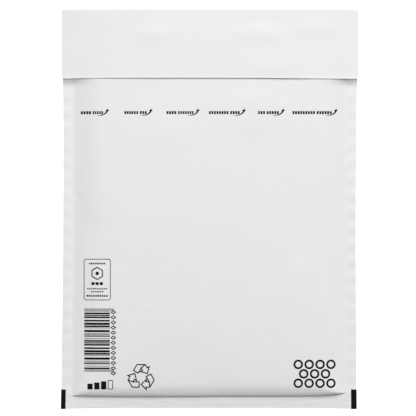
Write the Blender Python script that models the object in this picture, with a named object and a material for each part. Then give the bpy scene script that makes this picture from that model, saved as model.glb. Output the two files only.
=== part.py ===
"""A padded envelope, closed and lying on its back.

One sheet of white paper, lined with air-bubble film, is folded and pressed together along both sides
and the bottom. The back panel runs on past the mouth, folds over and lies on the front as the flap.
The lining can't be seen from outside, so the whole pack is one solid with the form of its paper.

Metres, +Z up. X runs across, +Y runs towards the flap's fold, and the back rests on Z = 0.
"""

import math

import bmesh
import bpy

# The paper, in metres
PAPER_WIDTH = 0.2015
CLOSED_LENGTH = 0.2716
FLAP_LENGTH = 0.0467
FLAP_THICKNESS = 0.00025

# The strips where front, lining and back are pressed together
SIDE_SEAM = 0.0066
BOTTOM_SEAM = 0.0081
SEAM_THICKNESS = 0.0008

# How far the padding swells on each side of the seams, and the front's further rise in the middle
BACK_DEPTH = 0.0028
FRONT_DEPTH = 0.0030
CROWN = 0.0012

# Over what distance the padding reaches that depth, from each side seam, the bottom seam and the fold
SIDE_SHOULDER = 0.014
BOTTOM_SHOULDER = 0.0065
MOUTH_TAPER = 0.022
FOLD_REACH = 0.0016

# The share of the padding's depth left in the fold, and how sharply two shoulders meet in a corner
MOUTH_SHARE = 0.3
CORNER_SHARPNESS = 3.0

# Swelling draws the body in at its waist, which lies this far from the fold, and between the corners
DRAW_IN = 0.0013
WAIST_FROM_FOLD = 0.1195
BOTTOM_DRAW_IN = 0.0006

# The body hangs this far out of square with the flap, from end to end
LEAN = 0.0010

# The flap lies on the front with a gap, sags past the padding at its sides, and lifts along its free edge
FLAP_GAP = 0.0006
FLAP_SAG = 0.0006
FLAP_LIFT = 0.0003
FLAP_EDGE_BOW = 0.0006

# How finely the surface is divided
PANEL_STEP = 0.011
SHOULDER_STEPS = 7
FOLD_STEPS = 6
FLAP_STEP = 0.0045

FOLD_Y = CLOSED_LENGTH / 2
ROOT_Y = FOLD_Y - FOLD_REACH
BOTTOM_Y = -CLOSED_LENGTH / 2
WAIST_Y = FOLD_Y - WAIST_FROM_FOLD
SEAM_UNDERSIDE = BACK_DEPTH
SEAM_TOP = BACK_DEPTH + SEAM_THICKNESS

SHARP_EDGE = math.radians(35)
PAPER_COLOUR = (0.80, 0.80, 0.80, 1.0)
PAPER_ROUGHNESS = 0.5


def shoulder(distance, reach, steepness):
    """0 at a seam and 1 from reach inwards. Steepness 1 is a gentle bow, 0.5 a quarter of an ellipse."""
    share = min(max(distance / reach, 0.0), 1.0)
    return (1.0 - (1.0 - share) ** 2) ** steepness


def mouth_share(y):
    """How full the padding is at y, as the fold of the flap pinches it."""
    return MOUTH_SHARE + (1.0 - MOUTH_SHARE) * shoulder(ROOT_Y - y, MOUTH_TAPER, 1.0)


def fullness(u, y):
    """How full the padding is, from 0 on the seams to 1 on the flat of a panel.

    u runs from -1 to 1 across the paper. Where two shoulders meet, the lower one leads.
    """
    from_side = (1.0 - abs(u)) * PAPER_WIDTH / 2 - SIDE_SEAM
    from_bottom = y - BOTTOM_Y - BOTTOM_SEAM
    shares = (
        shoulder(from_side, SIDE_SHOULDER, 1.0),
        shoulder(from_bottom, BOTTOM_SHOULDER, 0.5),
        mouth_share(y),
    )
    if min(shares) <= 0.0:
        return 0.0
    total = sum(share**-CORNER_SHARPNESS for share in shares) - (len(shares) - 1)
    return total ** (-1.0 / CORNER_SHARPNESS)


def crown(u, y):
    """The front's broad rise towards its middle."""
    along = 2.0 * y / CLOSED_LENGTH
    return CROWN * (1.0 - u**2) * (1.0 - along**2)


def back_height(u, y):
    return SEAM_UNDERSIDE - BACK_DEPTH * fullness(u, y)


def front_height(u, y):
    return SEAM_TOP + (FRONT_DEPTH + crown(u, y)) * fullness(u, y)


def flap_height(u, y):
    """The flap's underside. It follows the flat of the front and bridges the step to the side seams."""
    flat_of_front = SEAM_TOP + (FRONT_DEPTH + crown(u, y)) * mouth_share(y)
    along = (ROOT_Y - y) / FLAP_LENGTH
    return flat_of_front + FLAP_GAP - FLAP_SAG * u**6 + FLAP_LIFT * along**2


def body_x(u, y):
    """Where the paper's point u lies across the body, which is drawn in at its waist and leans a little."""
    end_y = FOLD_Y if y > WAIST_Y else BOTTOM_Y
    towards_end = (y - WAIST_Y) / (end_y - WAIST_Y)
    half_width = PAPER_WIDTH / 2 - DRAW_IN * math.cos(math.pi / 2 * towards_end)
    return LEAN * y / CLOSED_LENGTH + u * half_width


def flap_x(u):
    return LEAN / 2 + u * PAPER_WIDTH / 2


def body_y(u, y):
    """The bottom edge is drawn in between its corners. Every other line across the body is straight."""
    if y > BOTTOM_Y:
        return y
    return y + BOTTOM_DRAW_IN * (1.0 - u**4)


def flap_y(u, share):
    """From the slot's root at share 0 to the free edge at share 1, which bows up in its middle."""
    free_edge = FOLD_Y - FLAP_LENGTH + FLAP_EDGE_BOW * (1.0 - u**2)
    return ROOT_Y + (free_edge - ROOT_Y) * share


def outer_point(u, row):
    """A point of the skin that faces outwards: the back, then round the fold, then the flap's top."""
    stretch, value = row
    if stretch == "body":
        return body_x(u, value), body_y(u, value), back_height(u, value)
    if stretch == "flap":
        y = flap_y(u, value)
        return flap_x(u), y, flap_height(u, y) + FLAP_THICKNESS
    low = back_height(u, ROOT_Y)
    high = flap_height(u, ROOT_Y) + FLAP_THICKNESS
    y = ROOT_Y + FOLD_REACH * math.cos(value)
    return flap_x(u), y, (low + high) / 2 + (high - low) / 2 * math.sin(value)


def inner_point(u, row):
    """A point of the skin that the fold closes on: the front, then the slot, then the flap's underside."""
    stretch, value = row
    if stretch == "body":
        return body_x(u, value), body_y(u, value), front_height(u, value)
    if stretch == "flap":
        y = flap_y(u, value)
        return flap_x(u), y, flap_height(u, y)
    low = front_height(u, ROOT_Y)
    high = flap_height(u, ROOT_Y)
    radius = (high - low) / 2
    y = ROOT_Y + radius * math.cos(value)
    return flap_x(u), y, (low + high) / 2 + radius * math.sin(value)


def evenly(start, end, step):
    """Values from start to end, both included, about a step apart."""
    count = max(1, round(abs(end - start) / step))
    return [start + (end - start) * i / count for i in range(count + 1)]


def over_shoulder(start, reach):
    """Values from a seam inwards, close together where the shoulder turns fastest."""
    turns = [math.pi / 2 * i / SHOULDER_STEPS for i in range(SHOULDER_STEPS + 1)]
    return [start + reach * (1.0 - math.cos(turn)) for turn in turns]


def columns_across():
    """The paper's points u from side to side: an edge, a seam, a shoulder, the panel, and back again."""
    half = PAPER_WIDTH / 2
    rise = over_shoulder(SIDE_SEAM, SIDE_SHOULDER)
    left = [-1.0] + [distance / half - 1.0 for distance in rise]
    panel = evenly(left[-1], -left[-1], PANEL_STEP / half)
    return left[:-1] + panel + [-u for u in reversed(left[:-1])]


def rows_along():
    """The rows from the bottom edge up the body, round the fold and down the flap to its free edge."""
    rise = over_shoulder(BOTTOM_Y + BOTTOM_SEAM, BOTTOM_SHOULDER)
    taper = [ROOT_Y - distance for distance in reversed(over_shoulder(0.0, MOUTH_TAPER))]
    panel = evenly(rise[-1], taper[0], PANEL_STEP)
    body = [BOTTOM_Y] + rise[:-1] + panel[:-1] + taper
    turns = [math.pi * (i / FOLD_STEPS - 0.5) for i in range(1, FOLD_STEPS)]
    flap = evenly(0.0, 1.0, FLAP_STEP / FLAP_LENGTH)
    stretches = (("body", body), ("fold", turns), ("flap", flap))
    return [(name, value) for name, values in stretches for value in values]


def add_skin(mesh, columns, rows, point):
    """A grid of four-sided faces whose corners lie where point says."""
    grid = [[mesh.verts.new(point(u, row)) for u in columns] for row in rows]
    for near, far in zip(grid, grid[1:]):
        for corners in zip(near, near[1:], far[1:], far):
            mesh.faces.new(corners)
    return grid


def border(grid):
    """The grid's outermost points, once round."""
    right = [row[-1] for row in grid[1:-1]]
    left = [row[0] for row in grid[-2:0:-1]]
    return grid[0] + right + grid[-1][::-1] + left


def join_borders(mesh, outer, inner):
    """Closes the solid with the cut edge of the paper, all the way round."""
    edge = list(zip(border(outer), border(inner)))
    for (near_out, near_in), (far_out, far_in) in zip(edge, edge[1:] + edge[:1]):
        mesh.faces.new((near_out, far_out, far_in, near_in))


def white_paper():
    material = bpy.data.materials.new("white_paper")
    material.use_nodes = True
    shader = material.node_tree.nodes["Principled BSDF"]
    shader.inputs["Base Color"].default_value = PAPER_COLOUR
    shader.inputs["Roughness"].default_value = PAPER_ROUGHNESS
    shader.inputs["Metallic"].default_value = 0.0
    material.diffuse_color = PAPER_COLOUR
    return material


def padded_envelope():
    columns = columns_across()
    rows = rows_along()
    form = bmesh.new()
    outer = add_skin(form, columns, rows, outer_point)
    inner = add_skin(form, columns, rows, inner_point)
    join_borders(form, outer, inner)
    bmesh.ops.recalc_face_normals(form, faces=form.faces[:])
    mesh = bpy.data.meshes.new("padded_envelope")
    form.to_mesh(mesh)
    form.free()
    mesh.shade_smooth()
    mesh.set_sharp_from_angle(angle=SHARP_EDGE)
    mesh.materials.append(white_paper())
    envelope = bpy.data.objects.new("padded_envelope", mesh)
    bpy.context.scene.collection.objects.link(envelope)
    return envelope


def main():
    for old in list(bpy.data.objects):
        bpy.data.objects.remove(old)
    padded_envelope()


main()
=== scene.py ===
# %% [markdown]
# # A padded envelope, closed and lying on its back
#
# The real envelope is one web of bleached paper with air-bubble film behind it. A machine folds it,
# presses both sides and the bottom flat, and cuts it loose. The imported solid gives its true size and
# its plain form. This script lays a much finer sheet of paper over that form, prints on it, and
# photographs it from straight above. The solid is loaded first, and nothing here moves it.

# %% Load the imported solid
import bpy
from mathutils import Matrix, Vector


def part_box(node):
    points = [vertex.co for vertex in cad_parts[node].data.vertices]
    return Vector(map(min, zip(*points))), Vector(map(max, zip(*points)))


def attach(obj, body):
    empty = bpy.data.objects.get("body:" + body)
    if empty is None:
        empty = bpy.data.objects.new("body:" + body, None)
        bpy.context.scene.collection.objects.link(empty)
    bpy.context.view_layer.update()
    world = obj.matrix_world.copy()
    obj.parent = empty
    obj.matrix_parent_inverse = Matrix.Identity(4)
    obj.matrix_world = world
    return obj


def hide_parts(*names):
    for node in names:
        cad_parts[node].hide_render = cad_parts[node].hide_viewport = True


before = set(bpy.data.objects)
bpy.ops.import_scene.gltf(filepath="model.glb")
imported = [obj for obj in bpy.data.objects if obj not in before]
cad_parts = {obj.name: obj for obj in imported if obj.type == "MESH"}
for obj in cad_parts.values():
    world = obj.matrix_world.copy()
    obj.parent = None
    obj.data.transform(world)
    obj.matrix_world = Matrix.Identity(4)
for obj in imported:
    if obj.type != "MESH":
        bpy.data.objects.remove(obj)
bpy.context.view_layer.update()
solid_low, solid_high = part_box("padded_envelope")
print("solid, mm:", [round(1000 * side, 1) for side in solid_high - solid_low])

# %% [markdown]
# ## The paper's sizes
#
# Everything is in metres, so a size in millimetres is written times MM. The outline comes from the
# solid's own box. The other sizes are those of the pressed seams, of the padding and of the flap. The
# web ran a little askew in the machine, so the envelope leans by a millimetre along its length.

# %% The paper's sizes
import math

import bmesh
import bpy
import numpy as np
from mathutils import Vector, noise
from mathutils.bvhtree import BVHTree

MM = 0.001
LEAN = 1.0 * MM
PAPER_WIDTH = solid_high.x - solid_low.x - LEAN
CLOSED_LENGTH = solid_high.y - solid_low.y
FLAP_LENGTH = 46.7 * MM
FLAP_THICKNESS = 0.25 * MM
SIDE_SEAM = 6.6 * MM
BOTTOM_SEAM = 9.15 * MM
SEAM_THICKNESS = 0.8 * MM
BACK_DEPTH = 2.8 * MM
FRONT_DEPTH = 3.3 * MM
SEAM_TOP = BACK_DEPTH + SEAM_THICKNESS

FOLD_REACH = 1.6 * MM
FOLD_Y = CLOSED_LENGTH / 2
ROOT_Y = FOLD_Y - FOLD_REACH
BOTTOM_Y = -CLOSED_LENGTH / 2
print("paper, mm:", round(PAPER_WIDTH / MM, 1), "x", round(CLOSED_LENGTH / MM, 1))

# %% [markdown]
# ## How full the padding is
#
# The padding swells from nothing at a pressed seam to its full depth some way in. One curve says how
# it rises from each edge: a gentle bow at the sides, a round end that even hangs over the seam at the
# bottom, and a slow taper up to the fold. A formula is better here than pushing points by hand, as
# front and back both ask it for their height, and it still holds when a size changes.

# %% How full the padding is
SIDE_SHOULDER = 19.0 * MM
CORNER_SHOULDER = 7.0 * MM
CORNER_LENGTH = 30.0 * MM
SIDE_CREASE_RADIUS = 2.6 * MM
MOUTH_TAPER = 22.0 * MM
MOUTH_SHARE = 0.3

# At places across the envelope: how far the round end reaches in, and how far in its foot lies, in mm
END_PLACES = (-94.6, -92.5, -88, -80, -60, -46, -41, -35, -5, 5, 60, 76, 82, 86, 90, 94)
END_REACHES = (0.6, 2.7, 4.4, 5.5, 7.0, 7.7, 6.0, 7.9, 8.1, 8.3, 8.0, 6.2, 3.8, 2.2, 1.4, 0.8)
END_FEET = (0, 0, 0, 0, 0, 0, 0, 0, 0.1, 0.3, 0.3, 0.35, 0.6, 1.1, 1.5, 1.6)

END_STEEPNESS = 0.45


def from_cut_edge(u):
    """How far in from the nearer cut edge a column lies. u runs from -1 to 1 across the paper."""
    return (1.0 - np.abs(u)) * PAPER_WIDTH / 2


def bow(distance, reach):
    """0 at a seam, 1 from reach inwards, and steepest at the seam."""
    share = np.clip(distance / reach, 0.0, 1.0)
    return 1.0 - (1.0 - share) ** 2


def eased(distance, radius):
    """The distance from a crease, eased so that a slope starts out of it with that radius."""
    return np.sqrt(np.maximum(distance, 0.0) ** 2 + radius**2) - radius


def round_end(u, y):
    """The share of its depth that the padding's round bottom end has reached."""
    across = u * PAPER_WIDTH / 2 / MM
    reach = np.interp(across, END_PLACES, END_REACHES) * MM
    foot = np.interp(across, END_PLACES, END_FEET) * MM
    return bow(y - BOTTOM_Y - BOTTOM_SEAM - foot, reach) ** END_STEEPNESS


def side_shoulder(y):
    """How far the bow at the sides reaches in: less towards the bottom corners, which are blunt."""
    from_corner = bow(y - BOTTOM_Y - BOTTOM_SEAM, CORNER_LENGTH)
    return CORNER_SHOULDER + (SIDE_SHOULDER - CORNER_SHOULDER) * from_corner


def mouth_share(y):
    """The share of its depth that the padding keeps as the fold of the flap pinches it."""
    return MOUTH_SHARE + (1.0 - MOUTH_SHARE) * bow(ROOT_Y - y, MOUTH_TAPER)


print("half way in over a bow the padding has", float(bow(0.5, 1.0)), "of its depth")

# %% [markdown]
# ## All the edges together
#
# Where two of the curves meet in a corner, the lower one leads. The three shares are joined through a
# power of one over each, so that no crease shows where the lead changes. On top of it the front has a
# broad crown, which falls along the last stretch to the bottom seam.

# %% All the edges together
CORNER_SHARPNESS = 3.0
SMALLEST_SHARE = 1e-6
CROWN = 1.7 * MM
TOE_DROP = 1.8 * MM
TOE_LENGTH = 55.0 * MM
TOE_POWER = 3


def fullness(u, y):
    """How full the padding is, from 0 on the seams to 1."""
    from_side = from_cut_edge(u) - SIDE_SEAM
    shares = (
        bow(eased(from_side, SIDE_CREASE_RADIUS), side_shoulder(y)),
        round_end(u, y),
        mouth_share(y),
    )
    powers = sum(np.maximum(share, SMALLEST_SHARE) ** -CORNER_SHARPNESS for share in shares)
    total = powers - (len(shares) - 1)
    return np.where(np.minimum(shares[0], shares[1]) > 0.0, total ** (-1.0 / CORNER_SHARPNESS), 0.0)


def crown(u, y):
    """The front's broad rise in the middle, and its fall along the last stretch to the bottom seam."""
    along = 2.0 * y / CLOSED_LENGTH
    rise = CROWN * (1.0 - u**2) * (1.0 - along**2)
    toe = np.clip(1.0 - (y - BOTTOM_Y - BOTTOM_SEAM) / TOE_LENGTH, 0.0, 1.0) ** TOE_POWER
    return rise - TOE_DROP * toe * (1.0 - u**2)


print("share of its depth in the very middle:", round(float(fullness(0.0, 0.0)), 3))

# %% [markdown]
# ## What the hand feels under the paper
#
# Paper over bubble film is never quite smooth. The film's round bubbles lie 11 mm from middle to
# middle, in staggered columns. They print through faintly, and more so in the seams, where they are
# squashed. The sheet also has slow waves, and small puckers where it leaves a seam. Each of these is
# a small height that is added to the form. They could be a bump in the material, but as real height
# they also show in the outline and from low angles.

# %% What the hand feels under the paper
BUBBLE_PITCH = 11.2 * MM
BUBBLE_START = 1.3 * MM
BUBBLE_PRINT = 0.024 * MM
SEAM_BUBBLE_PRINT = 0.24 * MM
WAVE_LENGTH = 42.0 * MM
WAVE_HEIGHT = 0.16 * MM
PUCKER_LENGTH = 9.0 * MM
PUCKER_REACH = 6.5 * MM
PUCKER_HEIGHT = 0.16 * MM
QUICKER = 2.6
QUICK_SHARE = 0.3

# Each use of noise has a layer of its own, and the quicker waves lie some layers further on
FRONT_LAYER, FLAP_LAYER, PUCKER_LAYER = 1.0, 2.0, 3.0
CURL_LAYER, EDGE_LAYER, STREAK_LAYER = 5.0, 9.0, 13.0
QUICK_LAYERS = 7.0

# Staggered rows of round things lie this share of their pitch apart
STAGGER = math.cos(math.radians(30))

# The lowest and the highest sum of three crossing ripples
RIPPLES_LOW, RIPPLES_HIGH = -1.5, 3.0


def soft_noise(x, y, size, layer):
    """Smooth noise between about -1 and 1, whose hills are about size wide."""
    points = np.stack(np.broadcast_arrays(x / size, y / size), axis=-1).reshape(-1, 2)
    values = [noise.noise((px, py, layer)) for px, py in points]
    return np.array(values).reshape(np.broadcast(x, y).shape)


def bubbles(x, y):
    """1 on top of each bubble of the film and 0 midway between three, in staggered columns."""
    turns = [math.radians(angle) for angle in (0, 60, 120)]
    rate = 2 * math.pi / (BUBBLE_PITCH * STAGGER)
    along = y + BUBBLE_START
    ripples = [np.cos(rate * (x * math.cos(turn) + along * math.sin(turn))) for turn in turns]
    return np.clip((sum(ripples) - RIPPLES_LOW) / (RIPPLES_HIGH - RIPPLES_LOW), 0.0, 1.0)


def waves(x, y, layer):
    """The sheet's slow waves, with smaller and lower ones riding on them."""
    slow = soft_noise(x, y, WAVE_LENGTH, layer)
    quick = soft_noise(x, y, WAVE_LENGTH / QUICKER, layer + QUICK_LAYERS)
    return WAVE_HEIGHT * (slow + QUICK_SHARE * quick)


def puckers(u, y):
    """Small creases that run inwards from the side seams and fade out."""
    from_side = from_cut_edge(u) - SIDE_SEAM
    inwards = np.clip(from_side / PUCKER_REACH, 0.0, None)
    fade = inwards * np.exp(1.0 - inwards**2 - inwards)
    return PUCKER_HEIGHT * fade * soft_noise(np.sign(u) + 0 * y, y / PUCKER_LENGTH, 1.0, PUCKER_LAYER)


print("bubble columns are", round(BUBBLE_PITCH * STAGGER / MM, 1), "mm apart")

# %% [markdown]
# ## Soft dents and bumps
#
# An envelope that has lain in a stack is dented and swollen in places of its own. Noise can't put a
# dent where it belongs, so each one is placed one by one: a soft hill or hollow with an oval foot.

# %% Soft dents and bumps
# In mm: the middle across and along, the half sizes across and along, and the height
FRONT_DENTS = (
    (-90.0, 8.0, 1.7, 1.6, -2.00),
    (-80.0, -13.5, 9.0, 8.0, -0.34),
    (-78.0, -30.0, 10.0, 8.0, -0.22),
    (-88.0, 46.0, 3.0, 11.0, -0.24),
    (83.0, 24.0, 7.0, 22.0, 0.42),
    (60.5, -42.0, 10.0, 9.0, 0.34),
    (61.0, -60.0, 13.0, 17.0, 0.26),
    (86.0, -90.0, 6.5, 17.0, 0.80),
    (78.0, -66.0, 3.4, 19.0, 0.70),
    (25.0, 72.0, 17.0, 8.0, 0.24),
    (30.0, 45.0, 16.0, 9.0, -0.20),
    (-30.0, 52.0, 18.0, 10.0, 0.16),
    (-19.0, -100.0, 26.0, 14.0, -0.30),
    (-52.0, -64.0, 3.2, 2.6, 0.09),
    (-41.5, -66.0, 3.2, 2.6, 0.09),
    (-17.0, -63.5, 3.4, 3.0, 0.12),
    (4.0, -66.0, 3.2, 3.0, 0.10),
    (11.0, -62.0, 3.0, 2.6, 0.09),
)
FLAP_DENTS = (
    (-38.0, 119.5, 12.0, 5.5, 0.30),
    (-4.0, 118.5, 18.0, 8.0, 0.10),
    (33.0, 119.5, 15.0, 5.5, 0.32),
    (72.0, 124.0, 14.0, 6.0, 0.22),
    (-84.0, 108.0, 9.0, 16.0, -0.16),
    (-68.0, 127.0, 9.0, 5.0, 0.12),
    (46.0, 96.0, 15.0, 5.0, 0.14),
    (-89.5, 90.5, 5.5, 9.0, -0.24),
    (89.0, 90.5, 5.5, 9.0, -0.32),
)


def dents(x, y, listed):
    """The height of all the soft dents in a list."""
    total = np.zeros(np.broadcast(x, y).shape)
    for middle_x, middle_y, half_x, half_y, height in listed:
        across = (x / MM - middle_x) / half_x
        along = (y / MM - middle_y) / half_y
        total += height * MM * np.exp(-(across**2) - along**2)
    return total


print(len(FRONT_DENTS), "dents and bumps on the front,", len(FLAP_DENTS), "on the flap")

# %% [markdown]
# ## The pressed strips
#
# Paper, film and paper are pressed into one stiff strip along both sides and along the bottom. A strip
# keeps the squashed bubbles, curls a little, and has fine creases where the padding pulls at it. The
# bottom one sags between its corners. The flap's free edge lies on the side strips, which are held up
# to it and fall away just below it.

# %% The pressed strips
BOTTOM_SAG = 1.7 * MM
SAG_REACH = 30.0 * MM
EDGE_LIFT = 1.48 * MM
SEAM_LIFT = 0.6 * MM
EDGE_LIFT_REACH = 4.4 * MM
STREAK_LENGTH = 16.0 * MM
STREAK_WIDTH = 1.3 * MM
STREAK_HEIGHT = 0.07 * MM
STREAK_FADE = 2.0 * MM
STRIP_SHARE = 0.15
STRIP_CURL = 0.5 * MM
CURL_HILLS = 1.6
CURL_REACH = 20.0 * MM
BOTTOM_STRIP_DROOP = 0.85 * MM
BOTTOM_BUBBLE_SHARE = 0.35


def between_corners(u):
    """1 along the middle, and 0 at both edges of the paper."""
    return 1.0 - u**4


def sag(u, y):
    """How far the bottom seam hangs between its two corners."""
    return BOTTOM_SAG * between_corners(u) * np.exp(-(((y - BOTTOM_Y) / SAG_REACH) ** 2))


def lift_at_flap(u, y):
    """How far a side strip is held up to the flap, most of all at the flap's free edge."""
    inwards = bow(from_cut_edge(u), SIDE_SEAM)
    under = np.clip((ROOT_Y - y) / (FLAP_LENGTH - FOLD_REACH), 0.0, 1.0)
    below = np.clip((FOLD_Y - FLAP_LENGTH - y) / EDGE_LIFT_REACH, 0.0, 1.0)
    return (EDGE_LIFT + SEAM_LIFT * inwards) * under * (1.0 - below)


def streaks(x, y):
    """Fine creases along the bottom strip, where the padding pulls at it."""
    below_seam = np.clip((BOTTOM_Y + BOTTOM_SEAM - y) / STREAK_FADE, 0.0, 1.0)
    creases = soft_noise(x / STREAK_LENGTH, y / STREAK_WIDTH, 1.0, STREAK_LAYER)
    return STREAK_HEIGHT * below_seam * creases


def curl(u, y):
    """The slow curl of the side strips, which starts below the flap and grows towards the cut edge."""
    past_seam = np.clip(1.0 - from_cut_edge(u) / SIDE_SEAM, 0.0, 1.0)
    below_flap = np.clip((FOLD_Y - FLAP_LENGTH - y) / CURL_REACH, 0.0, 1.0)
    hills = soft_noise(0 * y + np.sign(u), y / WAVE_LENGTH, CURL_HILLS, CURL_LAYER)
    return STRIP_CURL * past_seam * below_flap * hills


def strip_height(u, x, y, full):
    """How far a strip lies above its level. full is the padding's fullness there, 0 on the strip."""
    strip = np.clip(1.0 - full / STRIP_SHARE, 0.0, 1.0)
    below_seam = np.clip((BOTTOM_Y + BOTTOM_SEAM - y) / BOTTOM_SEAM, 0.0, 1.0)
    droop = BOTTOM_STRIP_DROOP * below_seam * between_corners(u)
    share = np.where(y < BOTTOM_Y + BOTTOM_SEAM, BOTTOM_BUBBLE_SHARE, 1.0)
    pressed = strip * (SEAM_BUBBLE_PRINT * share * bubbles(x, y) + streaks(x, y))
    return pressed + curl(u, y) - droop + lift_at_flap(u, y) * (1.0 - full)


print("the bottom seam hangs", round(float(sag(0.0, BOTTOM_Y)) / MM, 2), "mm between its corners")

# %% [markdown]
# ## Heights of back, front and flap
#
# The back lies on the table, so it can only be pressed up between two bubbles. The front has all of
# the relief. In the seams, front and back move together, because they are pressed into one strip.
# The flap is a single sheet. It follows the flat of the front, bridges the step to the side strips,
# and droops there because nothing holds it up. Near the fold its stiffness lifts it a little, and its
# free edge dips towards the front and ends in a fine lip, where the knife has turned the paper up.

# %% Heights of back, front and flap
BACK_PRESS = 0.05 * MM
FLAP_GAP = 0.78 * MM
FOLD_RISE = 0.15 * MM
EDGE_DIP = 0.12 * MM
EDGE_DIP_POWER = 4
SIDE_DROOP_AT_FOLD = 3.0 * MM
SIDE_DROOP_AT_EDGE = 2.3 * MM
DROOP_POWER = 5
LIP_HEIGHT = 0.08 * MM
LIP_WIDTH = 1.3 * MM
SMOOTH_BY_FOLD = 0.25


def back_height(u, x, y):
    """The outside of the back panel."""
    full = fullness(u, y)
    pressed_up = BACK_PRESS * (1.0 - bubbles(x, y)) * full
    return (BACK_DEPTH - sag(u, y)) * (1.0 - full) + pressed_up + strip_height(u, x, y, full)


def front_height(u, x, y):
    """The outside of the front panel."""
    full = fullness(u, y)
    relief = waves(x, y, FRONT_LAYER) + dents(x, y, FRONT_DENTS)
    relief = relief + BUBBLE_PRINT * bubbles(x, y) + puckers(u, y)
    padding = FRONT_DEPTH + crown(u, y) + sag(u, y) + relief
    return SEAM_TOP - sag(u, y) + padding * full + strip_height(u, x, y, full)


def flap_height(u, x, y):
    """The underside of the flap."""
    along = (ROOT_Y - y) / FLAP_LENGTH
    near_fold = 1.0 - bow(ROOT_Y - y, MOUTH_TAPER)
    side_droop = SIDE_DROOP_AT_FOLD + (SIDE_DROOP_AT_EDGE - SIDE_DROOP_AT_FOLD) * along
    droop = np.abs(u) ** DROOP_POWER * side_droop
    dip = EDGE_DIP * between_corners(u) * along**EDGE_DIP_POWER
    from_edge = np.maximum(FLAP_LENGTH - FOLD_REACH - (ROOT_Y - y), 0.0)
    lip = LIP_HEIGHT * np.clip(1.0 - from_edge / LIP_WIDTH, 0.0, 1.0) ** 2
    relief = waves(x, y, FLAP_LAYER) + dents(x, y, FLAP_DENTS)
    relief = relief * np.clip(along / SMOOTH_BY_FOLD, 0.0, 1.0)
    hanging = FLAP_GAP + FOLD_RISE * near_fold - droop - dip + lip
    return SEAM_TOP + FRONT_DEPTH + crown(u, y) + hanging + relief


top_of_front = front_height(0.0, np.zeros(1), np.zeros(1))[0]
print("the front's middle lies at", round(float(top_of_front) / MM, 2), "mm")

# %% [markdown]
# ## Where each point of the paper lies, seen from above
#
# Swelling draws paper in, as it does on any pillow: the body is narrower at its waist, and its bottom
# edge is hollow between the corners. The padding's round end also hangs over the bottom seam. The
# crimping tool and the knife never run quite straight, so the cut edges wander by a tenth of a
# millimetre.

# %% Where each point of the paper lies
DRAW_IN = 1.3 * MM
WAIST_Y = FOLD_Y - 119.5 * MM
BOTTOM_DRAW_IN = 0.6 * MM
FOOT_NARROWER = 0.18 * MM
OVERHANG = 0.85 * MM
OVERHANG_ENDS = 0.94
OVERHANG_END_POWER = 6
OVERHANG_POWER = 0.5
ONLY_THE_EDGE = 0.5 * MM
EDGE_WANDER = 0.14 * MM
WANDER_HILLS = 0.45
WANDER_POWER = 9

# The flap's free edge: how far it lies below its nominal line, at places across the flap, in mm
EDGE_PLACES = (-100, -81, -61, -20, 21, 41, 61, 80, 101)
EDGE_DROPS = (0.64, 0.26, 0.15, 0.16, 0.16, 0.34, 0.56, 0.67, 0.81)


def body_x(u, y):
    """Where a column lies across the body, which is narrowest at its waist."""
    end_y = np.where(y > WAIST_Y, FOLD_Y, BOTTOM_Y)
    towards_end = (y - WAIST_Y) / (end_y - WAIST_Y)
    narrower = FOOT_NARROWER * np.clip((WAIST_Y - y) / (WAIST_Y - BOTTOM_Y), 0.0, 1.0)
    half_width = PAPER_WIDTH / 2 - DRAW_IN * np.cos(math.pi / 2 * towards_end) - narrower
    hills = soft_noise(0 * y, y / WAVE_LENGTH, WANDER_HILLS, EDGE_LAYER)
    wander = EDGE_WANDER * u**WANDER_POWER * hills
    return LEAN * y / CLOSED_LENGTH + u * half_width + wander


def body_y(u, y):
    """Where a line across the body lies: drawn in at the bottom edge, pushed out on the round end."""
    drawn_in = BOTTOM_DRAW_IN * between_corners(u) * (y < BOTTOM_Y + ONLY_THE_EDGE)
    middle = np.clip(1.0 - (u / OVERHANG_ENDS) ** OVERHANG_END_POWER, 0.0, 1.0)
    return y + drawn_in - OVERHANG * middle * np.sin(math.pi * round_end(u, y) ** OVERHANG_POWER)


def flap_x(u):
    return LEAN / 2 + u * PAPER_WIDTH / 2


def flap_y(u, share):
    """From the fold's root at share 0 to the free edge at share 1."""
    drop = np.interp(u * PAPER_WIDTH / 2 / MM, EDGE_PLACES, EDGE_DROPS) * MM
    free_edge = FOLD_Y - FLAP_LENGTH - drop
    return ROOT_Y + (free_edge - ROOT_Y) * share


print("waist is", round((PAPER_WIDTH - 2 * DRAW_IN) / MM, 1), "mm wide")

# %% [markdown]
# ## Rows and columns of the sheet
#
# The sheet is a grid. Its lines lie 1.5 mm apart on the flat, fine enough for an 11 mm bubble, and
# closer where the paper bends. The columns run from edge to edge. The rows run up the body, round the
# fold and down the flap. Subdividing a coarse sheet would be simpler, but it would put as many points
# on the flat as in the creases, which need them.

# %% Rows and columns of the sheet
GRID = 1.5 * MM
STRIP_STEPS = 8
BOTTOM_STEPS = 18
SHOULDER_STEPS = 12
END_STEPS = 18
FOLD_STEPS = 12
LIP_STEPS = 4


def evenly(start, end, step):
    """Values from start to end, as close to step apart as whole steps allow."""
    count = max(1, round(abs(end - start) / step))
    return list(np.linspace(start, end, count + 1))


def over_shoulder(start, reach, steps):
    """Values from a seam inwards, close together where the shoulder turns fastest."""
    return [start + reach * (1.0 - math.cos(math.pi / 2 * i / steps)) for i in range(steps + 1)]


def columns_across():
    half = PAPER_WIDTH / 2
    strip = list(np.linspace(0.0, SIDE_SEAM, STRIP_STEPS + 1))
    rise = over_shoulder(SIDE_SEAM, SIDE_SHOULDER + SIDE_CREASE_RADIUS, SHOULDER_STEPS)
    left = [distance / half - 1.0 for distance in strip[:-1] + rise]
    panel = evenly(left[-1], -left[-1], GRID / half)
    return np.array(left[:-1] + panel + [-u for u in reversed(left[:-1])])


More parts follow.
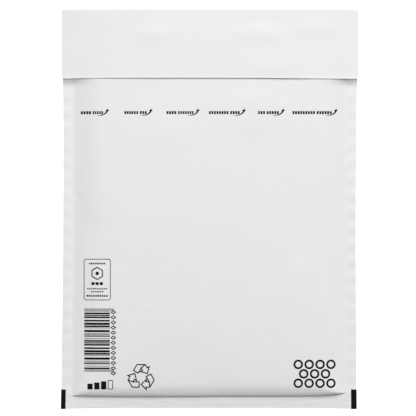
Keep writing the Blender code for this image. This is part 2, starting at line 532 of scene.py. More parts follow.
def rows_along():
    strip = list(np.linspace(BOTTOM_Y, BOTTOM_Y + BOTTOM_SEAM, BOTTOM_STEPS + 1))
    rise = over_shoulder(strip[-1], max(END_REACHES) * MM, END_STEPS)
    from_root = over_shoulder(0.0, MOUTH_TAPER, SHOULDER_STEPS)
    taper = [ROOT_Y - distance for distance in reversed(from_root)]
    panel = evenly(rise[-1], taper[0], GRID)
    body = strip[:-1] + rise[:-1] + panel[:-1] + taper
    turns = [math.pi * (i / FOLD_STEPS - 0.5) for i in range(1, FOLD_STEPS)]
    lip_start = 1.0 - LIP_WIDTH / FLAP_LENGTH
    lip = list(np.linspace(lip_start, 1.0, LIP_STEPS + 1))
    flap = evenly(0.0, lip_start, GRID / FLAP_LENGTH)[:-1] + lip
    return body, turns, flap


columns = columns_across()
body_rows, fold_rows, flap_rows = rows_along()
print("grid:", len(columns), "columns,", len(body_rows) + len(fold_rows) + len(flap_rows), "rows")

# %% [markdown]
# ## The two skins
#
# The envelope is closed, so one watertight mesh can stand for all of its paper. Its outer skin is the
# back, the outside of the fold and the top of the flap. Its inner skin is the front, the narrow slot
# behind the fold and the underside of the flap. Both have the same rows and columns, so their borders
# join point by point. The fold was pressed after it was bent, so its top has a tight crease, while its
# lower half is round.

# %% The two skins
CREASE_DEPTH = 0.9 * MM
CREASE_SHARPNESS = 1 / 3


def skin(body, fold, flap):
    """All points of one skin, row by row, from a function for each stretch."""
    u = columns[None, :]
    parts = [
        body(u, np.array(body_rows)[:, None]),
        fold(u, np.array(fold_rows)[:, None]),
        flap(u, np.array(flap_rows)[:, None]),
    ]
    return np.concatenate([np.stack(np.broadcast_arrays(*part), axis=-1) for part in parts])


def body_part(height):
    def points(u, y):
        x = body_x(u, y)
        return x, body_y(u, y), height(u, x, y)
    return points


def flap_part(rise):
    def points(u, share):
        x = flap_x(u)
        y = flap_y(u, share)
        return x, y, flap_height(u, x, y) + rise
    return points


def outer_fold(u, turn):
    """The outside of the fold. turn runs from a quarter turn below the middle to one above it."""
    x = flap_x(u)
    low = back_height(u, x, ROOT_Y + 0 * turn)
    high = flap_height(u, x, ROOT_Y + 0 * turn) + FLAP_THICKNESS
    crease = high - CREASE_DEPTH
    reach = np.where(turn > 0.0, np.cos(turn) ** CREASE_SHARPNESS, np.cos(turn))
    rise = CREASE_DEPTH * np.maximum(np.sin(turn), 0.0) ** CREASE_SHARPNESS
    fall = (crease - low) * np.minimum(np.sin(turn), 0.0)
    return x, ROOT_Y + FOLD_REACH * reach, crease + rise + fall


def inner_fold(u, turn):
    """The slot behind the fold, half round."""
    x = flap_x(u)
    low = front_height(u, x, ROOT_Y + 0 * turn)
    high = flap_height(u, x, ROOT_Y + 0 * turn)
    radius = (high - low) / 2
    return x, ROOT_Y + radius * np.cos(turn), (low + high) / 2 + radius * np.sin(turn)


outer = skin(body_part(back_height), outer_fold, flap_part(FLAP_THICKNESS))
inner = skin(body_part(front_height), inner_fold, flap_part(0.0))
lowest, highest = outer[..., 2].min() / MM, outer[..., 2].max() / MM
print("lowest point, mm:", round(lowest, 3), " highest:", round(highest, 2))

# %% [markdown]
# ## The cut edge
#
# In a seam the knife goes through paper, film and paper. The film shrinks back a little, so the cut
# edge has a fine groove between its two plies. It is made from extra rings of points between the two
# borders, with the middle ring pushed in.

# %% The cut edge
GROOVE_DEPTH = 0.18 * MM
MIDDLE = 0.5
RING_SHARES = (0.34, MIDDLE, 0.66)


def border(rows, cols):
    """The grid places of the border, once round."""
    bottom = [(0, c) for c in range(cols)]
    right = [(r, cols - 1) for r in range(1, rows - 1)]
    top = [(rows - 1, c) for c in range(cols - 1, -1, -1)]
    left = [(r, 0) for r in range(rows - 2, 0, -1)]
    return bottom + right + top + left


def groove(place, share):
    """How far, and which way, a ring's point moves in from the cut edge."""
    row, column = place
    if share != MIDDLE or row >= len(body_rows):
        return np.zeros(3)
    sideways = {0: 1.0, len(columns) - 1: -1.0}.get(column, 0.0)
    return GROOVE_DEPTH * np.array((sideways, 1.0 if row == 0 else 0.0, 0.0))


print("cut edge:", len(border(*outer.shape[:2])), "points in each ring")

# %% [markdown]
# ## The sheet as one mesh
#
# Both skins go into one mesh, with a four-sided face for each cell of the grid, and the rings close
# the gap between their borders. It has no hole, so it could be printed or weighed. It is shaded
# smooth, except over edges that turn by more than 40 degrees, such as the cut edge.

# %% The sheet as one mesh
SHARP_EDGE = math.radians(40)


def skin_faces(start, rows, cols):
    """The faces of one skin, whose points are numbered from start."""
    faces = []
    for row in range(rows - 1):
        for column in range(cols - 1):
            corner = start + row * cols + column
            faces.append((corner, corner + 1, corner + cols + 1, corner + cols))
    return faces


def paper_mesh(name):
    """Both skins, and the rings of the cut edge that join them."""
    rows, cols = outer.shape[:2]
    places = border(rows, cols)
    points = [*outer.reshape(-1, 3), *inner.reshape(-1, 3)]
    faces = skin_faces(0, rows, cols) + skin_faces(rows * cols, rows, cols)
    rings = [[r * cols + c for r, c in places]]
    for share in RING_SHARES:
        rings.append(list(range(len(points), len(points) + len(places))))
        for place in places:
            points.append(outer[place] * (1.0 - share) + inner[place] * share + groove(place, share))
    rings.append([rows * cols + r * cols + c for r, c in places])
    for near, far in zip(rings, rings[1:]):
        for i in range(len(places)):
            j = (i + 1) % len(places)
            faces.append((near[i], near[j], far[j], far[i]))
    mesh = bpy.data.meshes.new(name)
    mesh.from_pydata([tuple(point) for point in points], [], faces)
    form = bmesh.new()
    form.from_mesh(mesh)
    bmesh.ops.recalc_face_normals(form, faces=form.faces[:])
    form.to_mesh(mesh)
    form.free()
    return mesh


def put_in_scene(name, data):
    """A new object in the scene, from a mesh, a lamp or a camera."""
    thing = bpy.data.objects.new(name, data)
    bpy.context.scene.collection.objects.link(thing)
    return thing


paper = put_in_scene("paper_envelope", paper_mesh("paper_envelope"))
paper.data.shade_smooth()
paper.data.set_sharp_from_angle(angle=SHARP_EDGE)
print("paper:", len(paper.data.polygons), "faces")

# %% [markdown]
# ## Tools for materials
#
# Colours are written as sRGB hex, and one function turns them to the linear values that shaders work
# with. Another adds a node with its settings and links, so that a material reads as a list of its
# nodes. A third mixes two tones in soft clouds.

# %% Tools for materials
def linear(hex_colour):
    """A colour written as sRGB hex, turned to the linear values that shaders work with."""
    channels = [int(hex_colour[i:i + 2], 16) / 255 for i in (1, 3, 5)]
    return (*[c / 12.92 if c <= 0.04045 else ((c + 0.055) / 1.055) ** 2.4 for c in channels], 1.0)


def add_node(tree, kind, inputs=None, **settings):
    """One node of a material. inputs gives each socket a value, or another node's output."""
    node = tree.nodes.new(kind)
    for name, value in settings.items():
        setattr(node, name, value)
    for name, value in (inputs or {}).items():
        if isinstance(value, bpy.types.NodeSocket):
            tree.links.new(value, node.inputs[name])
        else:
            node.inputs[name].default_value = value
    return node


def new_material(name):
    """An empty material and its tree of nodes."""
    material = bpy.data.materials.new(name)
    material.use_nodes = True
    material.node_tree.nodes.clear()
    return material, material.node_tree


def mottled(tree, place, size, dark, light, detail):
    """A colour that drifts between two tones, in clouds about size wide."""
    clouds = add_node(tree, "ShaderNodeTexNoise", {
        "Vector": place, "Scale": 1.0 / size, "Detail": detail})
    tone = add_node(tree, "ShaderNodeMix", {
        0: clouds.outputs["Fac"], 6: linear(dark), 7: linear(light)}, data_type="RGBA")
    return tone.outputs[2]


print("middle grey #808080 is", round(linear("#808080")[0], 2), "in linear light")

# %% [markdown]
# ## Paper: bleached and machine-glazed
#
# Envelope paper is bleached pulp that was dried against a polished steel cylinder, which leaves a
# smooth, matt face with a faint sheen. Two things keep it from being one flat white. Pulp settles in
# clouds, so its tone varies by about one part in a hundred over a few millimetres. Its fibres, about
# 2 mm long and 0.03 mm wide, leave a fine tooth. That tooth is finer than a pixel here, so it is
# drawn 0.9 mm wide. An image of paper would also do, but noise has no edges and no seams.

# %% Paper: bleached and machine-glazed
PULP_CLOUD = 5.0 * MM
FIBRE_TOOTH = 0.9 * MM
PAPER_LIGHT = "#E7E7E7"
PAPER_DARK = "#E4E4E4"
PAPER_ROUGHNESS = 0.52
PAPER_IOR = 1.5
TOOTH_DEPTH = 0.02 * MM
TOOTH_STRENGTH = 0.15


def bleached_glazed_paper():
    material, tree = new_material("bleached_glazed_paper")
    place = add_node(tree, "ShaderNodeTexCoord").outputs["Object"]
    tooth = add_node(tree, "ShaderNodeTexNoise", {
        "Vector": place, "Scale": 1.0 / FIBRE_TOOTH, "Detail": 2.0})
    bump = add_node(tree, "ShaderNodeBump", {
        "Height": tooth.outputs["Fac"], "Strength": TOOTH_STRENGTH, "Distance": TOOTH_DEPTH})
    shader = add_node(tree, "ShaderNodeBsdfPrincipled", {
        "Base Color": mottled(tree, place, PULP_CLOUD, PAPER_DARK, PAPER_LIGHT, detail=3.0),
        "Roughness": PAPER_ROUGHNESS, "IOR": PAPER_IOR, "Normal": bump.outputs["Normal"]})
    add_node(tree, "ShaderNodeOutputMaterial", {"Surface": shader.outputs["BSDF"]})
    return material


paper.data.materials.append(bleached_glazed_paper())
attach(paper, "root")
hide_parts("padded_envelope")
print("material:", paper.data.materials[0].name)

# %% [markdown]
# ## Ink that lies on the paper
#
# The envelope is printed by flexography: a soft rubber plate stamps one flat colour. Each printed
# shape is thin mesh here, laid down on the finished paper, so its edges stay crisp at any size. An
# image would blur, and a mask in the paper's material would be lost in other programs. A ray that is
# sent straight down finds how high the paper lies at a place.

# %% Ink that lies on the paper
ABOVE_ALL = 0.1

bpy.context.view_layer.update()
paper_below = BVHTree.FromObject(paper, bpy.context.evaluated_depsgraph_get())


def height_of_paper(x, y):
    """The paper's top at a place seen from above, or at the nearest place on its edge."""
    point, _, _, _ = paper_below.ray_cast(Vector((x, y, ABOVE_ALL)), Vector((0.0, 0.0, -1.0)))
    if point is None:
        point, _, _, _ = paper_below.find_nearest(Vector((x, y, SEAM_TOP)))
        return max(point.z, SEAM_TOP - BOTTOM_STRIP_DROOP)
    return point.z


print("the middle of the paper lies at", round(height_of_paper(0.0, 0.0) / MM, 2), "mm")

# %% [markdown]
# ## From flat outlines to a printed piece
#
# Each outline becomes a flat face, cut along a square grid into cells small enough to bend with the
# paper, and extruded. Then every point moves to the paper: the upper layer a little above it, and the
# lower one a little below. Real ink is far thinner than this tenth of a millimetre, but so thin a skin
# would dip under the paper between its points. A shrinkwrap modifier could lay the shapes down too,
# but it would also pull at their sides.

# %% From flat outlines to a printed piece
INK_PROUD = 0.06 * MM
INK_SUNK = 0.045 * MM
INK_CELL = 0.9 * MM
SAME_POINT = 1e-7


def cut_into_cells(form):
    """Cuts the flat shapes along a square grid, so that they can bend."""
    for axis in (0, 1):
        places = [vertex.co[axis] for vertex in form.verts]
        first = math.ceil(min(places) / INK_CELL)
        last = math.floor(max(places) / INK_CELL)
        normal = Vector((1.0 - axis, axis, 0.0))
        for number in range(first, last + 1):
            cut = normal * (number * INK_CELL)
            everything = form.verts[:] + form.edges[:] + form.faces[:]
            bmesh.ops.bisect_plane(
                form, geom=everything, plane_co=cut, plane_no=normal, dist=SAME_POINT)


def flat_form(outlines):
    """The outlines as flat faces that look up, cut into cells. Big ones become triangles first."""
    form = bmesh.new()
    for outline in outlines:
        form.faces.new([form.verts.new((x, y, 0.0)) for x, y in outline])
    bmesh.ops.recalc_face_normals(form, faces=form.faces[:])
    for face in form.faces:
        if face.normal.z < 0:
            face.normal_flip()
    bmesh.ops.triangulate(form, faces=[face for face in form.faces if len(face.verts) > 4])
    cut_into_cells(form)
    return form


def print_in_ink(name, outlines):
    """A named piece of ink from flat outlines, each a list of (x, y) in metres."""
    form = flat_form(outlines)
    copied = bmesh.ops.extrude_face_region(form, geom=form.faces[:])["geom"]
    lifted = {item for item in copied if isinstance(item, bmesh.types.BMVert)}
    heights = {v: height_of_paper(v.co.x, v.co.y) for v in form.verts}
    for vertex, height in heights.items():
        vertex.co.z = height + (INK_PROUD if vertex in lifted else -INK_SUNK)
    bmesh.ops.recalc_face_normals(form, faces=form.faces[:])
    mesh = bpy.data.meshes.new(name)
    form.to_mesh(mesh)
    form.free()
    piece = put_in_scene(name, mesh)
    piece.data.materials.append(flexo_black)
    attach(piece, "root")
    print(name, "has", len(mesh.polygons), "faces")


print("ink is", round((INK_PROUD + INK_SUNK) / MM, 3), "mm thick")

# %% [markdown]
# ## Ink: black flexo ink
#
# Flexo ink is thin and water-based, and it dries matt. On paper it never covers quite evenly, so its
# black varies a little, like a worn stamp. The two blacks are mixed by a noise of 1.5 mm. Ink that
# has sunk into paper shines less than a film of it would, so its IOR is set below the usual 1.5.

# %% Ink: black flexo ink
INK_DARK = "#050506"
INK_LIGHT = "#121213"
INK_CLOUD = 1.5 * MM
INK_ROUGHNESS = 0.8
INK_IOR = 1.25


def black_flexo_ink():
    material, tree = new_material("black_flexo_ink")
    place = add_node(tree, "ShaderNodeTexCoord").outputs["Object"]
    shader = add_node(tree, "ShaderNodeBsdfPrincipled", {
        "Base Color": mottled(tree, place, INK_CLOUD, INK_DARK, INK_LIGHT, detail=2.0),
        "Roughness": INK_ROUGHNESS, "IOR": INK_IOR})
    add_node(tree, "ShaderNodeOutputMaterial", {"Surface": shader.outputs["BSDF"]})
    return material


flexo_black = black_flexo_ink()
print("material:", flexo_black.name)

# %% [markdown]
# ## Drawing with lines and blocks
#
# Every printed shape comes from a few small tools, above all a line along a path, which may taper. It
# is built from one four-sided piece for each step of its path, with mitred corners, so closed frames
# and rings need no holes. Blender's curves could do the same, but their fill has to be turned to mesh
# before it can be laid on the paper.

# %% Drawing with lines and blocks
SHARPEST_MITRE = 0.35


def in_metres(points):
    """Points in millimetres, turned to metres."""
    return [(x * MM, y * MM) for x, y in points]


def block(left, top, width, height):
    """A filled rectangle from its top left corner, all in millimetres."""
    right, bottom = left + width, top - height
    return in_metres(((left, top), (left, bottom), (right, bottom), (right, top)))


def line(path, width, closed=False, end_width=None):
    """Four-sided pieces along a path in millimetres. The width can taper to end_width."""
    points = [Vector(point) for point in path]
    count = len(points)
    widths = np.linspace(width, width if end_width is None else end_width, count)
    sides = []
    for i, point in enumerate(points):
        before = points[i - 1] if closed or i else point
        after = points[(i + 1) % count] if closed or i < count - 1 else point
        into = (point - before).normalized() if point != before else (after - point).normalized()
        out = (after - point).normalized() if after != point else into
        across = Vector((-(into + out).y, (into + out).x)).normalized()
        mitre = widths[i] / 2 / max(SHARPEST_MITRE, across.dot(Vector((-into.y, into.x))))
        sides.append((point + across * mitre, point - across * mitre))
    steps = range(count if closed else count - 1)
    return [in_metres((*sides[i], *sides[(i + 1) % count][::-1])) for i in steps]


square = line([(0, 0), (1, 0), (1, 1), (0, 1)], 0.1, closed=True)
print("a line round a square has", len(square), "pieces")

# %% [markdown]
# ## Arcs, rings, frames and rows
#
# An arc leads a path round a centre, a ring is a line along a full arc, and a frame is a line along
# four short ones.

# %% Arcs, rings, frames and rows
RING_STEPS = 28
CORNER_STEPS = 4


def arc(centre, radius, start, end, steps):
    """Points on an arc, by degrees, anticlockwise where end is larger."""
    angles = [math.radians(start + (end - start) * i / steps) for i in range(steps + 1)]
    return [(centre[0] + radius * math.cos(a), centre[1] + radius * math.sin(a)) for a in angles]


def ring(centre, radius, width):
    return line(arc(centre, radius, 0, 360, RING_STEPS)[:-1], width, closed=True)


def rounded_frame(left, top, width, height, corner, thickness):
    """A frame with round corners. Its line runs along the middle of its thickness."""
    right, bottom = left + width - corner, top - height + corner
    left, top = left + corner, top - corner
    path = []
    for x, y, start in ((right, top, 90), (right, bottom, 0), (left, bottom, -90), (left, top, 180)):
        path += arc((x, y), corner, start, start - 90, CORNER_STEPS)
    return line(path, thickness, closed=True)


def dashes(left, top, width, height, step, gap):
    """A row of small blocks, which fills a given width evenly."""
    count = max(1, round((width + gap) / step))
    pitch = (width + gap) / count
    return [block(left + pitch * i, top, pitch - gap, height) for i in range(count)]


strays = 1 - math.cos(math.pi / RING_STEPS)
print("a ring of", RING_STEPS, "steps strays by", round(strays, 4), "of its radius")

# %% [markdown]
# ## The row of opening marks
#
# Under the flap, six short rows of small blocks each end in a curved arrow that points up to the
# tear-open flap. The arrow swells from a hair line to a bold stroke, so it is drawn as a tapering
# line round a quarter of an ellipse, with a three-cornered head.

# %% The row of opening marks
MARK_TOP = 66.4
MARK_HEIGHT = 2.0
MARK_STEP, MARK_GAP = 1.65, 0.46
RUN_GAP = 1.2
# Each mark: where it starts across, and the widths of its two runs of blocks, in millimetres
OPENING_MARKS = (
    (-87.3, 6.9, 7.0),
    (-57.7, 9.3, 4.6),
    (-29.1, 6.6, 10.5),
    (-0.4, 13.2, 6.4),
    (32.9, 4.6, 8.2),
    (56.2, 15.2, 10.2),
)

# The arrow: how far it starts before the last block's end and below the top, its half sizes, the
# turn that it swings through in radians, and the width of its line at both ends
SWING_BACK, SWING_DOWN = 2.6, 2.9
SWING_ACROSS, SWING_UP = 5.6, 4.1
SWING_FROM, SWING_TO = -0.25, 1.32
SWING_POINTS = 14
HAIR_LINE, BOLD_LINE = 0.15, 1.15

# Its head: half its width, how far its foot laps the line, and where its tip lies
HEAD_HALF_WIDTH, HEAD_LAP = 1.35, 0.1
HEAD_TIP = (0.25, 1.5)


def curved_arrow(left, top):
    """A stroke that starts thin under the last blocks and swings up to an arrowhead."""
    x, y = left - SWING_BACK, top - SWING_DOWN
    swing = [(x + SWING_ACROSS * math.sin(turn), y + SWING_UP * (1.0 - math.cos(turn)))
             for turn in np.linspace(SWING_FROM, SWING_TO, SWING_POINTS)]
    end_x, end_y = swing[-1]
    head = [(end_x - HEAD_HALF_WIDTH, end_y - HEAD_LAP), (end_x + HEAD_HALF_WIDTH, end_y - HEAD_LAP),
            (end_x + HEAD_TIP[0], end_y + HEAD_TIP[1])]
    return line(swing, HAIR_LINE, end_width=BOLD_LINE) + [in_metres(head)]


for number, (left, first, second) in enumerate(OPENING_MARKS, 1):
    blocks = []
    for start, width in ((left, first), (left + first + RUN_GAP, second)):
        blocks += dashes(start, MARK_TOP, width, MARK_HEIGHT, MARK_STEP, MARK_GAP)
    right = left + first + RUN_GAP + second
    print_in_ink(f"opening_mark_{number}", blocks + curved_arrow(right, MARK_TOP))

# %% [markdown]
# ## The framed label
#
# At the lower left a thin frame with round corners holds a plain design: a six-sided cell with a dot
# in it, and rows of small blocks.

# %% The framed label
LABEL_LEFT, LABEL_TOP = -85.1, -33.9
LABEL_WIDTH, LABEL_HEIGHT = 17.9, 27.6
LABEL_CORNER, LABEL_LINE = 1.2, 0.46
CELL_DOWN, CELL_RADIUS, CELL_LINE = 9.6, 4.1, 0.7
CELL_SIDES = 6
DOT_RADIUS, DOT_STEPS = 1.2, 16

# Each row of blocks: half its width, how far down it lies, its height, its step and its gap, in mm
LABEL_ROWS = (
    (5.5, 2.4, 1.1, 1.2, 0.36),
    (3.9, 15.6, 1.9, 2.7, 0.6),
    (6.8, 19.6, 0.85, 1.3, 0.4),
    (4.2, 21.6, 0.85, 1.3, 0.4),
    (7.2, 24.2, 1.3, 1.5, 0.5),
)


def framed_label():
    middle = LABEL_LEFT + LABEL_WIDTH / 2
    centre = (middle, LABEL_TOP - CELL_DOWN)
    shapes = rounded_frame(
        LABEL_LEFT, LABEL_TOP, LABEL_WIDTH, LABEL_HEIGHT, LABEL_CORNER, LABEL_LINE)
    shapes += line(arc(centre, CELL_RADIUS, 90, -270, CELL_SIDES)[:-1], CELL_LINE, closed=True)
    shapes.append(in_metres(arc(centre, DOT_RADIUS, 0, 360, DOT_STEPS)[:-1]))
    for half, down, height, step, gap in LABEL_ROWS:
        shapes += dashes(middle - half, LABEL_TOP - down, 2 * half, height, step, gap)
    return shapes


print_in_ink("framed_label", framed_label())

# %% [markdown]
# ## The stripe field and its diamonds
#
# Below the label lies a field of stripes, thick and thin, with a column of small open diamonds beside
# it. How thick each stripe is follows a simple rule of remainders, which only has to give a lively
# mix. The first two and the last two are thin and reach further to the right. All are worked out in
# units first, and the size of the unit then follows from the length of the field.

# %% The stripe field and its diamonds
STRIPES_LEFT, STRIPES_TOP = -85.0, -67.4
STRIPES_WIDTH, STRIPES_HEIGHT = 17.4, 42.6
STRIPE_COUNT = 30
STRIPE_WIDEST = 4
GAP_WIDEST = 3
LONG_AT_EACH_END = 2
LONG_EXTRA = 2.8
DIAMOND_COUNT = 13
DIAMOND_PITCH = 3.45
DIAMOND_HALF_WIDTH, DIAMOND_HALF_HEIGHT = 1.5, 1.1
DIAMOND_LINE = 0.62
DIAMOND_INSET = 2.4


def stripe_units():
    """The thickness of each stripe and of the gap after it, in units, and whether it is a long one."""
    units = []
    for number in range(STRIPE_COUNT):
        long_one = not LONG_AT_EACH_END <= number < STRIPE_COUNT - LONG_AT_EACH_END
        thickness = 1 if long_one else 1 + (number * number + number // 3) % STRIPE_WIDEST
        gap = 1 if long_one else 1 + (number * 5 + number // 4) % GAP_WIDEST
        units.append((thickness, gap, long_one))
    return units


def stripes():
    units = stripe_units()
    last_gap = units[-1][1]
    unit = STRIPES_HEIGHT / (sum(thickness + gap for thickness, gap, _ in units) - last_gap)
    shapes = []
    top = STRIPES_TOP
    for thickness, gap, long_one in units:
        width = STRIPES_WIDTH + (LONG_EXTRA if long_one else 0.0)
        shapes.append(block(STRIPES_LEFT, top, width, thickness * unit))
        top -= (thickness + gap) * unit
    print("one unit of the stripes is", round(unit, 2), "mm")
    return shapes


def diamonds():
    shapes = []
    x = STRIPES_LEFT + STRIPES_WIDTH + DIAMOND_INSET
    for number in range(DIAMOND_COUNT):
        y = STRIPES_TOP - DIAMOND_INSET - DIAMOND_PITCH * number
        corners = [(x - DIAMOND_HALF_WIDTH, y), (x, y - DIAMOND_HALF_HEIGHT),
                   (x + DIAMOND_HALF_WIDTH, y), (x, y + DIAMOND_HALF_HEIGHT)]
        shapes += line(corners, DIAMOND_LINE, closed=True)
    return shapes


print_in_ink("stripe_field", stripes())
print_in_ink("stripe_diamonds", diamonds())

# %% [markdown]
# ## The size scale
#
# Under the stripes a bold scale of four bars stands for the envelope's size. Each bar is taller than
# the last, and three of the four are filled.

# %% The size scale
SCALE_LEFT, SCALE_FOOT = -82.8, -122.2
SCALE_BAR, SCALE_STEP = 3.6, 4.6
SCALE_HEIGHTS = (3.9, 4.7, 5.5, 6.3)
FILLED_BARS = 3
OPEN_BAR_CORNER, OPEN_BAR_LINE = 0.3, 0.5


def size_scale():
    shapes = []
    for number, height in enumerate(SCALE_HEIGHTS):
        left, top = SCALE_LEFT + SCALE_STEP * number, SCALE_FOOT + height
        if number < FILLED_BARS:
            shapes.append(block(left, top, SCALE_BAR, height))
        else:
            inset = OPEN_BAR_LINE / 2
            shapes += rounded_frame(
                left + inset, top - inset, SCALE_BAR - OPEN_BAR_LINE, height - OPEN_BAR_LINE,
                OPEN_BAR_CORNER, OPEN_BAR_LINE)
    return shapes


print_in_ink("size_scale", size_scale())

# %% [markdown]
# ## Three arrows that chase each other
#
# The common sign for recycling is three bent arrows in a loop. Each arrow here is one band that runs
# along a side of a triangle, turns at its corner and ends in a head. It is drawn once in outline and
# turned by a third for the other two.

# %% Three arrows that chase each other
ARROWS_MIDDLE = (-46.4, -113.9)
ARROWS_RADIUS = 9.9
ARROW_BAND = 3.6
ARROW_HEAD = 3.5
ARROW_BARB = 1.6
ARROW_LINE = 0.74
# Where each arrow starts, turns and ends, as shares of a side from the corner that it leads round
ARROW_TAIL, ARROW_BEND, ARROW_TIP = 0.42, 0.15, 0.50


def bent_arrow(turn):
    """One arrow, which leads from one side of the triangle round its top corner to the next side."""
    top, right, left = (
        ARROWS_RADIUS * Vector((math.cos(math.radians(angle)), math.sin(math.radians(angle))))
        for angle in (90, -30, 210)
    )
    down = (right - top).normalized()
    out_right = Vector((-down.y, down.x)) * ARROW_BAND / 2
    out_left = Vector((-out_right.x, out_right.y))
    tail, tip = top.lerp(left, ARROW_TAIL), top.lerp(right, ARROW_TIP)
    neck = tip - down * ARROW_HEAD
    barb = out_right.normalized() * ARROW_BARB
    bend_left = top.lerp(left, ARROW_BEND) + out_left
    bend_right = top.lerp(right, ARROW_BEND) + out_right
    inside = top - Vector((0, ARROW_BAND))
    outline = [tail + out_left, bend_left, bend_right, neck + out_right, neck + out_right + barb, tip,
               neck - out_right - barb, neck - out_right, inside, tail - out_left]
    cosine, sine = math.cos(math.radians(turn)), math.sin(math.radians(turn))
    placed = [(ARROWS_MIDDLE[0] + point.x * cosine - point.y * sine,
               ARROWS_MIDDLE[1] + point.x * sine + point.y * cosine) for point in outline]
    fold_ends = [placed[outline.index(bend_right)], placed[outline.index(inside)]]
    return line(placed, ARROW_LINE, closed=True) + line(fold_ends, ARROW_LINE)


chasing_arrows = []
for turn in (0, 120, 240):
    chasing_arrows += bent_arrow(turn)
print_in_ink("recycling_arrows", chasing_arrows)

# %% [markdown]
# ## A patch of rings
#
# At the lower right stands a plain design that tells of the padding: a patch of the film itself, with
# eleven bubbles in staggered rows, drawn as heavy rings.

# %% A patch of rings
RINGS_MIDDLE = (71.2, -111.6)
RING_PITCH = 7.4
RING_RADIUS = 2.6
RING_LINE = 1.3
# The rows of rings: how many rows above the middle one, and how many rings
RING_ROWS = ((1, 4), (0, 3), (-1, 4))


def bubble_rings():
    shapes = []
    for row, count in RING_ROWS:
        for number in range(count):
            x = RINGS_MIDDLE[0] + RING_PITCH * (number - (count - 1) / 2)
            y = RINGS_MIDDLE[1] + row * RING_PITCH * STAGGER
            shapes += ring((x, y), RING_RADIUS, RING_LINE)
    return shapes


print_in_ink("bubble_rings", bubble_rings())

# %% [markdown]
# ## Corner marks
#
# The press prints a black bar into both bottom corners, which tells the cutting machine where each
# envelope ends. The bars run off the paper's edge, so their outer side follows that edge.

# %% Corner marks
BAR_LENGTH = 13.4 * MM
BAR_STEPS = 10
LEFT_BAR_WIDTH = 3.2 * MM
RIGHT_BAR_WIDTH = 3.9 * MM


def corner_mark(side, width):
    """A bar along the cut edge. side is -1 on the left and 1 on the right."""
    ys = [BOTTOM_Y + BAR_LENGTH * i / BAR_STEPS for i in range(BAR_STEPS + 1)]
    outside = [(float(body_x(float(side), np.array([y]))[0]), y) for y in ys]
    inside = [(x - side * width, y) for x, y in outside]
    return [[outside[i], outside[i + 1], inside[i + 1], inside[i]] for i in range(BAR_STEPS)]


print_in_ink("corner_mark_left", corner_mark(-1, LEFT_BAR_WIDTH))
print_in_ink("corner_mark_right", corner_mark(1, RIGHT_BAR_WIDTH))

# %% [markdown]
# ## The table
#
# The envelope lies on a plain white board, lacquered matt. The camera sees the board brighter than it
# is, as in an overexposed background, while the light that it throws back onto the paper stays
# natural. From below it is clear, so that the envelope's back can be looked at too.

# %% The table
BOARD_HALF_SIDE = 12.0
BOARD_GAP = 0.2 * MM
BOARD_WHITE = "#E6E6E6"


def seen_otherwise(tree, lighting, picture):
    """One shader for the light in the scene, and another that only the camera sees."""
    ray = add_node(tree, "ShaderNodeLightPath")
    mix = add_node(tree, "ShaderNodeMixShader", {
        0: ray.outputs["Is Camera Ray"], 1: lighting, 2: picture})
    return mix.outputs[0]


def white_board():
    material, tree = new_material("white_lacquered_board")
    matt = add_node(tree, "ShaderNodeBsdfDiffuse", {"Color": linear(BOARD_WHITE)}).outputs[0]
    glow = add_node(tree, "ShaderNodeEmission", {"Color": linear("#FFFFFF"), "Strength": 1.0})
    both = add_node(tree, "ShaderNodeAddShader", {0: matt, 1: glow.outputs[0]}).outputs[0]
    side = add_node(tree, "ShaderNodeNewGeometry")
    clear = add_node(tree, "ShaderNodeBsdfTransparent").outputs[0]
    from_above = add_node(tree, "ShaderNodeMixShader", {
        0: side.outputs["Backfacing"], 1: seen_otherwise(tree, matt, both), 2: clear})
    add_node(tree, "ShaderNodeOutputMaterial", {"Surface": from_above.outputs[0]})
    return material


board_mesh = bpy.data.meshes.new("board")
corner_signs = ((-1, -1), (1, -1), (1, 1), (-1, 1))
board_corners = [(x * BOARD_HALF_SIDE, y * BOARD_HALF_SIDE, -BOARD_GAP) for x, y in corner_signs]
board_mesh.from_pydata(board_corners, [], [(0, 1, 2, 3)])
board = put_in_scene("board", board_mesh)
board.data.materials.append(white_board())
board.visible_shadow = False
print("board:", 2 * BOARD_HALF_SIDE, "m wide")

# %% [markdown]
# ## Light
#
# A padded envelope is almost all one white, so only light shows its form. One very large soft box
# stands beyond the flap, a little to the right, and looks down at the envelope. It makes the end of
# the padding and the edge of the flap throw soft shadows towards the viewer. A lamp that is larger or
# nearer would make them softer still. A second soft box below the table lights only the back.

# %% Light
KEY_DISTANCE = 3.8
KEY_ELEVATION = math.radians(52)
KEY_TURN = math.radians(12)
KEY_SIZE = 3.0
KEY_POWER = 176.0
BELOW_ELEVATION = math.radians(-48)
BELOW_POWER = 92.0


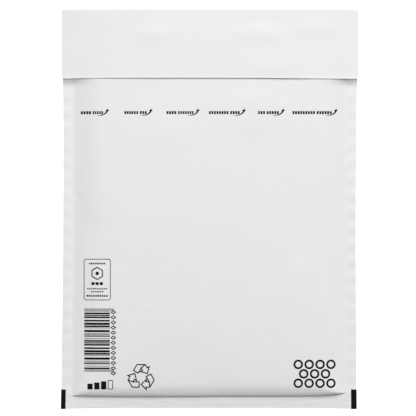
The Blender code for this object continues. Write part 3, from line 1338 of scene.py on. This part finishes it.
def soft_box(name, elevation, power):
    """A square soft box that looks at the envelope from beyond its flap."""
    towards = Vector((
        math.sin(KEY_TURN) * math.cos(elevation),
        math.cos(KEY_TURN) * math.cos(elevation),
        math.sin(elevation),
    ))
    light = bpy.data.lights.new(name, "AREA")
    light.shape = "SQUARE"
    light.size = KEY_SIZE
    light.energy = power
    box = put_in_scene(name, light)
    box.location = towards * KEY_DISTANCE
    box.rotation_euler = towards.to_track_quat("Z", "Y").to_euler()
    box.visible_camera = False


soft_box("soft_box", KEY_ELEVATION, KEY_POWER)
soft_box("soft_box_below", BELOW_ELEVATION, BELOW_POWER)
print("soft box spans", round(math.degrees(2 * math.atan(KEY_SIZE / 2 / KEY_DISTANCE))), "degrees")

# %% [markdown]
# ## Even light from all sides
#
# A white room throws some light into every shadow, and the world does that here. The camera sees it
# brighter, so that the background of a low view is as light as the table.

# %% Even light from all sides
FILL_STRENGTH = 0.2
BACKGROUND_SEEN = "#FAFAFA"

world = bpy.data.worlds.new("even_light")
world.use_nodes = True
sky = world.node_tree
sky.nodes.clear()
fill = add_node(sky, "ShaderNodeBackground", {
    "Color": linear("#FFFFFF"), "Strength": FILL_STRENGTH})
background = add_node(sky, "ShaderNodeBackground", {
    "Color": linear(BACKGROUND_SEEN), "Strength": 1.0})
add_node(sky, "ShaderNodeOutputWorld", {
    "Surface": seen_otherwise(sky, fill.outputs[0], background.outputs[0])})
bpy.context.scene.world = world
bpy.context.scene.view_settings.view_transform = "Standard"
print("even light has a strength of", FILL_STRENGTH)

# %% [markdown]
# ## Camera
#
# The picture is taken from straight above with a long lens, which keeps the sides of the envelope
# parallel. The picture is square and takes in 282.5 mm of the table.

# %% Camera
PICTURE_WIDTH = 282.5 * MM
CAMERA_HEIGHT = 1.6
PICTURE_MIDDLE = (-1.06 * MM, 0.78 * MM)

camera_data = bpy.data.cameras.new("camera")
camera_data.lens = camera_data.sensor_width * CAMERA_HEIGHT / PICTURE_WIDTH
camera = put_in_scene("camera", camera_data)
camera.location = (*PICTURE_MIDDLE, CAMERA_HEIGHT + SEAM_TOP)
bpy.context.scene.camera = camera
print("lens, mm:", round(camera_data.lens, 1))
